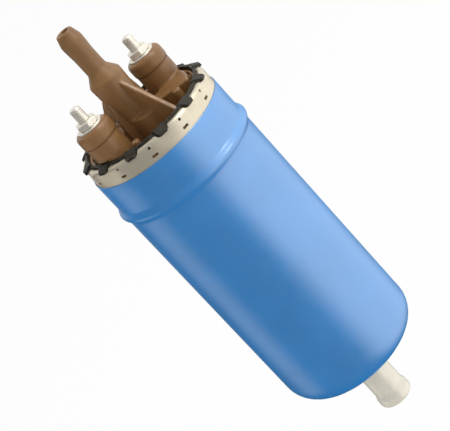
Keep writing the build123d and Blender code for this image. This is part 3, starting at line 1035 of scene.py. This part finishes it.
@dataclass
class Head(SubAssembly):
    """Brown moulding with the outlet nozzle, its webs and the two terminal bosses."""

    inner_r: float = 24.6
    foot_height: float = 6.2
    chamber_r: float = 20.5
    chamber_roof: float = -1.0
    pedestal_half: float = 5.1
    pedestal_reach: float = 5.6
    pedestal_height: float = 9.0
    pocket_floor: float = 0.4
    pocket_wall: float = 1.2
    tower_r: float = 6.2
    tower_root_r: float = 5.4
    tower_height: float = 24.7
    neck_r: float = 3.7
    neck_start: float = 28.4
    neck_end: float = 35.0
    barb_r: float = 4.05
    barb_height: float = 40.0
    barb_land: float = 1.2
    tip_r: float = 3.0
    nozzle_bore: float = 1.9
    valve_bore: float = 3.6
    valve_bore_height: float = 21.0
    web_angle: float = 62.0
    web_thick: float = 1.7
    web_height: float = 24.2
    web_reach: float = 21.8
    web_low: float = 6.6
    rib_height: float = 20.8
    rib_reach: float = 7.9
    boss_r: float = 6.3
    collar_r: float = 6.6
    collar_start: float = 14.0
    collar_slope: float = 0.3
    boss_height: float = 19.0
    boss_round: float = 1.6
    boss_step: float = 8.2
    apron_height: float = 7.8
    apron_reach: float = 20.6
    apron_sweep: float = 47.0
    apron_gap: float = 12.0
    apron_steps: int = 12
    seam: float = 0.28
    pad_r: float = 1.5
    pad_height: float = 1.0
    pad_round: float = 0.4
    pad_reach: float = 17.3
    low_pad_angle: float = -113.0
    high_pad_angle: float = -36.0
    sink: float = 0.2
    groove_height: float = -3.0
    groove_half: float = 1.0
    groove_depth: float = 1.7
    seat_r: float = 4.6
    seat_depth: float = 6.0
    grid: float = 0.32

    def __post_init__(self) -> None:
        """Takes the head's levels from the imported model."""
        self.base = high_of("jacket")
        self.bottom = low_of("head_cover")
        self.top = high_of("head_cover")
        self.flange_top = low_of("rim_gasket")

    def core(self) -> Piece:
        """Spigot, flange, foot, tower and nozzle, turned in one piece.

        Returns:
            The closed mesh.
        """
        b = self.base
        floor = self.inner_r - self.groove_depth
        low_edge = b + self.groove_height - self.groove_half
        high_edge = b + self.groove_height + self.groove_half
        corners = [
            (self.chamber_r - 2.0, b + self.chamber_roof, 0.0),
            (self.chamber_r, b + self.chamber_roof, 0.8),
            (self.chamber_r, self.bottom, 0.3),
            (self.inner_r, self.bottom, 0.3),
            (self.inner_r, low_edge, 0.0),
            (floor, low_edge, 0.2),
            (floor, high_edge, 0.2),
            (self.inner_r, high_edge, 0.0),
            (self.inner_r, self.flange_top, 0.2),
            (self.foot_r, self.flange_top, 0.0),
            (self.foot_r, b + self.foot_height, 0.3),
            (self.foot_r - self.pocket_wall, b + self.foot_height, 0.2),
            (self.foot_r - self.pocket_wall, b + self.pocket_floor, 0.3),
            (self.tower_root_r, b + self.pocket_floor, 0.4),
            (self.tower_root_r, b + self.pedestal_height, 0.0),
            (self.tower_r, b + self.tower_height, 0.9),
            (self.neck_r, b + self.neck_start, 1.5),
            (self.neck_r, b + self.neck_end, 6.0),
            (self.barb_r, b + self.barb_height, 0.4),
            (self.barb_r, b + self.barb_height + self.barb_land, 2.0),
            (self.tip_r, self.top, 0.4),
            (self.tip_r - 0.8, self.top, 0.0),
        ]
        return turned("core", rounded(corners), 120)

    def boss(self) -> Piece:
        """One terminal boss, on the axis, standing on the foot.

        Returns:
            The closed mesh.
        """
        b = self.base
        corners = [
            (self.boss_r - 1.0, b + self.chamber_roof + 1, 0.0),
            (self.boss_r, b + self.chamber_roof + 1, 0.3),
            (self.boss_r, b + self.collar_start, 0.0),
            (self.collar_r, b + self.collar_start + self.collar_slope, 0.15),
            (self.collar_r, b + self.boss_height, self.boss_round),
            (self.collar_r - self.boss_round - 1.5, b + self.boss_height, 0.0),
        ]
        return turned("boss", rounded(corners), 80)

    def trim(self) -> Piece:
        """Ring that trims the bosses' feet clear of the gasket.

        Returns:
            The cutter.
        """
        low = self.flange_top - 3 * PAST
        step = self.base + self.boss_step
        outer = self.foot_r + 6 * PAST
        outline = [(self.foot_r, low), (outer, low), (outer, step), (self.foot_r, step)]
        return turned("trim", [*outline, outline[0]], 180)

    def web(self, angle: float, start: float, high: float, reach: float, low: float) -> Piece:
        """Upright web from the axis outwards.

        Args:
            angle: degrees from +X.
            start: radius where its top edge begins to slope.
            high: height of its top.
            reach: radius of its outer end.
            low: height of its outer end.

        Returns:
            The closed mesh.
        """
        b = self.base
        outline = [(0, b + 1), (reach, b + 1), (reach, b + low), (start, b + high), (0, b + high)]
        piece = plate("web", outline, self.web_thick)
        piece.rotation_euler.z = radians(angle)
        return settled(piece)

    def pedestal(self) -> Piece:
        """Long block with round ends under the tower, in line with the large webs.

        Returns:
            The closed mesh.
        """
        half = self.pedestal_half
        end = self.pedestal_reach + half
        signs = ((1, 1), (-1, 1), (-1, -1), (1, -1))
        outline = rounded([(x * end, y * half, half - 0.05) for x, y in signs], closed=True, steps=16)[:-1]
        return slab("pedestal", outline, self.base + 1, self.base + self.pedestal_height, -self.web_angle)

    def apron(self, angle: float) -> Piece:
        """Raised floor in front of a boss, on the side of a large web.

        Args:
            angle: degrees from +X at which it ends, under the boss.

        Returns:
            The closed mesh.
        """
        steps = self.apron_steps
        turns = [angle - self.apron_sweep * k / steps for k in range(steps + 1)]
        outline = [(0.0, 0.0), *(at(self.apron_reach, turn)[:2] for turn in turns)]
        return slab("apron", outline, self.base + self.sink, self.base + self.apron_height)

    def pads(self) -> list[Piece]:
        """Small round pads beside the bosses' feet.

        Returns:
            The pads, each with its twin half a turn away.
        """
        low = self.base + self.sink
        spots = ((self.low_pad_angle, self.foot_height), (self.high_pad_angle, self.apron_height))
        placed = []
        for angle, floor in spots:
            top = self.base + floor + self.pad_height
            corners = [
                (self.pad_r, low, 0.0),
                (self.pad_r, top, self.pad_round),
                (self.pad_r - 0.9, top, 0.0),
            ]
            pad = turned("pad", rounded(corners), 32)
            placed += [copied(pad, 0, at(self.pad_reach, angle + turn)) for turn in (0, 180)]
            dropped(pad)
        return placed

    def bores(self) -> Piece:
        """Cutters of the nozzle's, the valve's and the studs' bores, and of the bosses' seams.

        Returns:
            All the cutters as one object.
        """
        b = self.base
        roof = b + self.chamber_roof
        valve = [
            (self.seat_r, roof - PAST, 0.0),
            (self.seat_r, roof + self.seat_depth, 0.0),
            (self.valve_bore, roof + self.seat_depth, 0.0),
            (self.valve_bore, b + self.valve_bore_height, 0.0),
            (self.nozzle_bore, b + self.valve_bore_height, 0.0),
            (self.nozzle_bore, self.top - 0.4, 0.0),
            (self.nozzle_bore + 0.4, self.top + 0.2, 0.0),
        ]
        cutters = [turned("bore", rounded(valve), 64)]
        z = b + self.collar_start
        shank = [(self.shank_r, roof - PAST), (self.shank_r, b + self.boss_height + PAST)]
        stud = turned("bore", shank, 48)
        inner, outer = self.boss_r - self.seam, self.boss_r + PAST
        ring = [(inner, z - 0.3), (outer, z - 0.3), (outer, z + 0.05), (inner, z + 0.05)]
        seam = turned("seam", [*ring, ring[0]], 80)
        for turn in (0, 180):
            place = at(self.boss_reach, self.boss_angle + turn)
            cutters += [copied(stud, 0, place), copied(seam, 0, place)]
        dropped(stud, seam)
        return joined("bores", cutters)

    def build(self) -> None:
        """Melts the parts of the moulding into one skin with soft corners, then cuts its bores."""
        boss = self.boss()
        rib = (self.tower_r - 0.1, self.rib_height, self.rib_reach, self.pedestal_height)
        parts = [self.core(), self.pedestal(), *self.pads()]
        for turn in (0, 180):
            place = at(self.boss_reach, self.boss_angle + turn)
            angle = turn - self.web_angle
            parts += [
                combined(copied(boss, 0, place), self.trim()),
                self.web(angle, self.neck_r, self.web_height, self.web_reach, self.web_low),
                self.web(angle + 90, *rib),
                self.apron(self.boss_angle + turn - self.apron_gap),
            ]
        dropped(boss)
        piece = joined("head_moulding", parts)
        modified(piece, "REMESH", mode="VOXEL", voxel_size=self.grid, use_smooth_shade=True)
        modified(piece, "SMOOTH", factor=0.5, iterations=3)
        combined(piece, self.bores())
        self.dressed(piece, "brown_moulding", "head_cover", sharp=70)


@dataclass
class Terminals(SubAssembly):
    """Threaded studs with their washers and nuts."""

    thread_r: float = 2.0
    pitch: float = 0.7
    thread_depth: float = 0.16
    thread_flank: float = 2.6
    tip_high: float = 0.5
    tip_slope: float = 0.9
    rivet_r: float = 1.6
    head_r: float = 2.9
    head_high: float = 1.2
    strap_thick: float = 0.8
    washer_r: float = 4.8
    washer_hole: float = 2.15
    nut_flats: float = 7.0
    nut_chamfer: float = 0.5
    nut_dish: float = 0.2
    nut_mouth: float = 0.35
    nut_edge: float = 0.12

    def __post_init__(self) -> None:
        """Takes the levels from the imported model."""
        self.stud_low = low_of("terminal_studs")
        self.stud_high = high_of("terminal_studs")
        self.washer_low = low_of("terminal_washers")
        self.nut_low = low_of("terminal_nuts")
        self.nut_high = high_of("terminal_nuts")

    def pair(self, name: str, piece: Piece) -> Piece:
        """The same piece on both terminals.

        Args:
            name: the name of the two together.
            piece: the model on the axis, which is used up.

        Returns:
            Both as one object.
        """
        two = [copied(piece, turn, at(self.boss_reach, self.boss_angle + turn)) for turn in (0, 180)]
        dropped(piece)
        return joined(name, two)

    def stud(self) -> Piece:
        """Stud on the axis, its thread cut from just above the boss to the tip.

        Returns:
            The closed mesh.
        """
        strap = self.stud_low + self.head_high
        roof = strap + self.strap_thick
        outline = [
            (self.head_r, self.stud_low),
            (self.head_r, strap),
            (self.rivet_r, strap),
            (self.rivet_r, roof),
            (self.shank_r, roof),
            (self.shank_r, self.washer_low),
            (self.thread_r, self.washer_low),
        ]
        steps = round((self.stud_high - self.washer_low) / (self.pitch / 8))
        rise = (self.stud_high - self.washer_low) / steps
        outline += [(self.thread_r, self.washer_low + rise * (k + 1)) for k in range(steps)]
        piece = turned("stud", outline, 40)

        def threaded(place: Vector) -> Vector:
            """Cuts the thread and the chamfer at the tip.

            Args:
                place: a point of the stud.

            Returns:
                Its new place.
            """
            r = hypot(place.x, place.y)
            if place.z <= self.washer_low or r < 0.1:
                return place
            turn = Vector((place.x, place.y)).angle_signed(Vector((1, 0)), 0.0) / tau
            phase = (place.z / self.pitch + turn) % 1.0
            groove = self.thread_depth * (1 - min(abs(phase - 0.5) * self.thread_flank, 1.0))
            tip = max(0.0, self.tip_high - (self.stud_high - place.z)) * self.tip_slope
            wanted = self.thread_r - max(groove, tip)
            return Vector((place.x * wanted / r, place.y * wanted / r, place.z))

        return sculpted(piece, threaded)

    def nut(self) -> Piece:
        """Hexagon nut on the axis, its corners turned off at both faces.

        Returns:
            The closed mesh.
        """
        low, high = self.nut_low, self.nut_high
        flat = self.nut_flats / 2
        corner = flat / cos(radians(30))
        piece = primitive(
            "nut", bpy.ops.mesh.primitive_cylinder_add, vertices=6, radius=corner, depth=high - low,
            location=(0, 0, (low + high) / 2),
        )
        slope = self.nut_chamfer
        inner, outer = flat - self.nut_dish, corner + 0.05
        cone = [(inner, low), (outer, low + slope), (outer, high - slope), (inner, high)]
        combined(piece, turned("cone", cone, 72), "INTERSECT")
        core, mouth = self.thread_r - self.thread_depth, self.thread_r + self.nut_mouth
        hole = [(mouth, low - 0.1), (core, low + 0.4), (core, high - 0.4), (mouth, high + 0.1)]
        combined(piece, turned("hole", hole, 48))
        return modified(piece, "BEVEL", width=self.nut_edge, segments=2, angle_limit=radians(25))

    def build(self) -> None:
        """Makes the studs, washers and nuts."""
        self.dressed(self.pair("studs", self.stud()), "plated_steel", "terminal_studs", sharp=50)
        corners = [
            (self.washer_hole, self.washer_low, 0.1),
            (self.washer_r, self.washer_low, 0.15),
            (self.washer_r, self.nut_low, 0.15),
            (self.washer_hole, self.nut_low, 0.1),
        ]
        washer = turned("washer", rounded(corners, closed=True, steps=3), 72)
        self.dressed(self.pair("washers", washer), "plated_steel", "terminal_washers")
        self.dressed(self.pair("nuts", self.nut()), "plated_steel", "terminal_nuts")


@dataclass
class Inlet(SubAssembly):
    """Turned suction nipple with its flange inside the can."""

    tube_r: float = 5.7
    bore: float = 4.0
    bead_r: float = 6.35
    bead_land: float = 2.0
    bead_ramp: float = 2.0
    tip_round: float = 1.5
    flange_r: float = 15.5
    flange_thick: float = 2.0

    def build(self) -> None:
        """Turns the nipple from its tip up to the flange and back down its bore."""
        tip = low_of("inlet_nipple")
        face = high_of("inlet_nipple")
        flange = face - self.flange_thick
        land = tip + self.tip_round
        corners = [
            (self.bore, tip, 0.5),
            (self.bead_r, tip, self.tip_round),
            (self.bead_r, land + self.bead_land, 0.5),
            (self.tube_r, land + self.bead_land + self.bead_ramp, 1.2),
            (self.tube_r, flange, 0.3),
            (self.flange_r, flange, 0.3),
            (self.flange_r, face, 0.3),
            (self.bore, face, 0.3),
        ]
        piece = turned("suction_nipple", rounded(corners, closed=True, steps=6), 128)
        self.dressed(piece, "nipple_metal", "inlet_nipple")


@dataclass
class Springs(SubAssembly):
    """Coil springs behind the brushes and the valve balls."""

    wire_r: float = 0.3
    wire_sides: int = 12
    turns: int = 5
    steps: int = 36

    def coil(self, node: str) -> Piece:
        """Round wire wound up round its own axis, as wide and as long as a node of the model.

        Args:
            node: the spring's node.

        Returns:
            The closed mesh.
        """
        low, high = (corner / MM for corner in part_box(node))
        middle = (low + high) / 2
        reach = (high.x - low.x) / 2 - self.wire_r
        rise = high.z - low.z - 2 * self.wire_r
        piece = primitive(
            f"{node}_coil", bpy.ops.mesh.primitive_circle_add, vertices=self.wire_sides, radius=self.wire_r,
            location=(reach, 0, 0), rotation=(radians(90), 0, 0),
        )
        modified(
            piece, "SCREW", angle=tau, screw_offset=rise / self.turns, iterations=self.turns,
            steps=self.steps, render_steps=self.steps,
        )
        with edited(piece):
            bpy.ops.mesh.select_all(action="SELECT")
            bpy.ops.mesh.fill_holes(sides=0)
        outwards(piece)
        piece.location = (middle.x, middle.y, low.z + self.wire_r)
        return settled(piece)

    def build(self) -> None:
        """Makes each spring that a joint presses."""
        for joint in frame["joints"]:
            for spring in joint.get("deforming_nodes", ()):
                node = spring["node"]
                piece = self.coil(node)
                self.dressed(piece, "spring_steel", node, sharp=60)
                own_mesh(piece)


@dataclass
class Interior(SubAssembly):
    """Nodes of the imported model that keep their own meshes."""

    def build(self) -> None:
        """Gives each node of the model the finish of its slot."""
        for part in frame["record"]["subparts"]:
            node = frame["nodes"][part["node"]]
            node.data.materials.clear()
            node.data.materials.append(FINISHES[part["material_slot"]].material())
            log.info("%s: finish %s", part["node"], part["material_slot"])


@dataclass(frozen=True)
class Card:
    """Bright side of the room in gloss: where its middle is, its colour, and the cosines it fades between."""

    towards: tuple[float, float, float]
    tint: tuple[float, float, float]
    start: float
    end: float


@dataclass(frozen=True)
class Lamp:
    """Square lamp: which way it stands from the pump, its side in metres, its power and its colour."""

    name: str
    towards: tuple[float, float, float]
    size: float
    watts: float
    tint: tuple[float, float, float]


@dataclass
class Studio:
    """Camera, world and floor, with a small key lamp on the +X side and a soft lamp above the pump."""

    eye: tuple[float, float, float] = (-1.63, -589.98, 248.54)
    elevation: float = 21.14
    roll: float = 42.69
    lens: float = 151.4
    floor_drop: float = 60.0
    floor_size: float = 8000.0
    floor_glow: float = 0.9
    ambient: float = 0.8
    cards: tuple[Card, ...] = (
        Card((0, 0, 1), (0.03, 0.03, 0.03), -2.0, -1.5),
        Card((0.98, -0.17, 0.0), (1.35, 1.33, 1.28), 0.1, 0.7),
        Card((-0.88, 0.26, -0.36), (0.55, 0.52, 0.45), 0.89, 1.0),
        Card((0.0, 0.93, 0.36), (0.9, 0.89, 0.86), 0.55, 0.95),
    )
    lamp_reach: float = 0.9
    lamps: tuple[Lamp, ...] = (
        Lamp("key", (0.81, -0.45, 0.42), 0.08, 0.6, (1.0, 0.98, 0.95)),
        Lamp("top", (0.42, -0.05, 0.9), 0.33, 2.7, (1.0, 0.97, 0.93)),
    )

    def camera(self) -> None:
        """Camera at the photograph's viewing angle."""
        tilt = radians(self.elevation)
        roll = radians(self.roll)
        flat_right = Vector((1, 0, 0))
        flat_up = Vector((0, sin(tilt), cos(tilt)))
        back = Vector((0, -cos(tilt), sin(tilt)))
        right = flat_right * cos(roll) - flat_up * sin(roll)
        up = flat_right * sin(roll) + flat_up * cos(roll)
        lens = bpy.data.cameras.new("camera")
        lens.lens = self.lens
        lens.sensor_width = 36.0
        lens.clip_start = 0.01
        camera = bpy.data.objects.new("camera", lens)
        bpy.context.collection.objects.link(camera)
        turn = Matrix((right, up, back)).transposed().to_4x4()
        camera.matrix_world = Matrix.Translation(Vector(self.eye) * MM) @ turn
        bpy.context.scene.camera = camera

    def lamp(self, lamp: Lamp) -> None:
        """Soft square lamp that faces the pump.

        Args:
            lamp: which way it stands, its side, its power and its colour.
        """
        light = bpy.data.lights.new(lamp.name, "AREA")
        light.size = lamp.size
        light.energy = lamp.watts
        light.color = lamp.tint
        towards = Vector(lamp.towards).normalized()
        made = bpy.data.objects.new(lamp.name, light)
        bpy.context.collection.objects.link(made)
        made.location = towards * self.lamp_reach
        made.rotation_euler = towards.to_track_quat("Z", "Y").to_euler()

    def world(self) -> None:
        """Even light all round; the camera sees white, and gloss sees the cards in a dark room."""
        world = bpy.data.worlds.new("world")
        bpy.context.scene.world = world
        world.cycles.sampling_method = "NONE"
        world.use_nodes = True
        graph = Graph(world.node_tree)
        light = graph.tree.nodes["Background"]
        graph.feed(light.inputs["Color"], WHITE)
        graph.feed(light.inputs["Strength"], self.ambient)
        around = graph.node("ShaderNodeTexCoord").outputs["Generated"]
        total = (0, 0, 0)
        for card in self.cards:
            facing = graph.vector("DOT_PRODUCT", around, Vector(card.towards).normalized())
            fade = graph.node(
                "ShaderNodeMapRange", facing.outputs["Value"], card.start, card.end,
                interpolation_type="SMOOTHSTEP",
            )
            glow = graph.vector("SCALE", card.tint, None, None, fade.outputs["Result"])
            total = graph.vector("MAXIMUM", total, glow.outputs[0]).outputs[0]
        camera = graph.node("ShaderNodeLightPath").outputs["Is Camera Ray"]
        seen = graph.node("ShaderNodeBackground", graph.blended(camera, total, WHITE[:3]))
        mix = graph.node("ShaderNodeMixShader", graph.picture_rays(), light.outputs[0], seen.outputs[0])
        graph.feed(graph.tree.nodes["World Output"].inputs["Surface"], mix.outputs[0])

    def floor(self) -> None:
        """Pale floor below the nipple that keeps a faint shadow; from underneath it is clear."""
        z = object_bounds()[0].z / MM - self.floor_drop
        floor = primitive("floor", bpy.ops.mesh.primitive_plane_add, size=self.floor_size, location=(0, 0, z))
        floor.scale = (MM, MM, MM)
        settled(floor)
        floor.visible_glossy = False
        material = bpy.data.materials.new("floor")
        material.use_nodes = True
        graph = Graph(material.node_tree)
        plain = graph.tree.nodes["Principled BSDF"]
        graph.feed(plain.inputs["Base Color"], (0.9, 0.9, 0.9, 1))
        graph.feed(plain.inputs["Roughness"], 0.9)
        glow = graph.node("ShaderNodeEmission")
        share = graph.node("ShaderNodeMath", graph.picture_rays(), self.floor_glow, operation="MULTIPLY")
        above = graph.node("ShaderNodeMixShader", share.outputs[0], plain.outputs[0], glow.outputs[0])
        below = graph.node("ShaderNodeBsdfTransparent")
        back = graph.node("ShaderNodeNewGeometry").outputs["Backfacing"]
        both = graph.node("ShaderNodeMixShader", back, above.outputs[0], below.outputs[0])
        graph.feed(graph.tree.nodes["Material Output"].inputs["Surface"], both.outputs[0])
        floor.data.materials.append(material)
        floor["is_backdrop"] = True

    def build(self) -> None:
        """Sets the stage."""
        self.camera()
        for lamp in self.lamps:
            self.lamp(lamp)
        self.world()
        self.floor()
        bpy.context.scene.view_settings.view_transform = "Standard"
        log.info("stage set")


def main() -> None:
    logging.basicConfig(level=logging.INFO, format="%(name)s %(message)s")
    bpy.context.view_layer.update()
    for assembly in (Interior(), Springs(), Housing(), RimGasket(), Head(), Terminals(), Inlet()):
        log.info("building %s", type(assembly).__name__)
        assembly.build()
    Studio().build()


if __name__ == "__main__":
    main()
